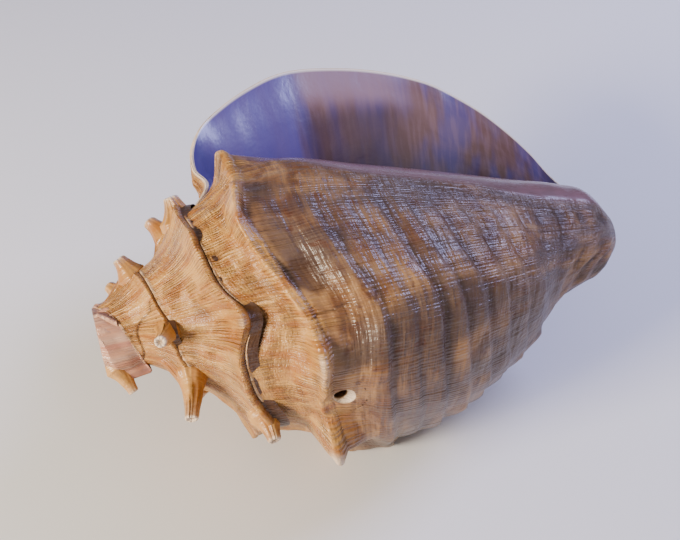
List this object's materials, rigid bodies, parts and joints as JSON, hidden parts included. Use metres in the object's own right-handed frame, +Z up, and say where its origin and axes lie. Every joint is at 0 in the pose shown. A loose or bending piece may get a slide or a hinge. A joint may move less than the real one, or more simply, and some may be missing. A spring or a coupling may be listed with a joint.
{
  "type": "conch shell trumpet",
  "caption": "Large spined sea snail shell with a flared lip, its apex sawn off as a blow hole and a side hole drilled in the body whorl, lying on its back.",
  "frame": {"origin": "on the resting plane, under the middle of the shell's box", "axes": "+X along the coiling axis from the sawn apex to the canal tip, +Z up from the surface that the shell lies on, +Y towards the side of the flared lip"},
  "size_m": [0.2288, 0.1815, 0.1338],
  "materials": {
    "shell": "varnished tan and brown shell outside, glossy pink porcelain-like lip"
  },
  "bodies": {
    "root": {"shell": "shell"}
  },
  "joints": []
}
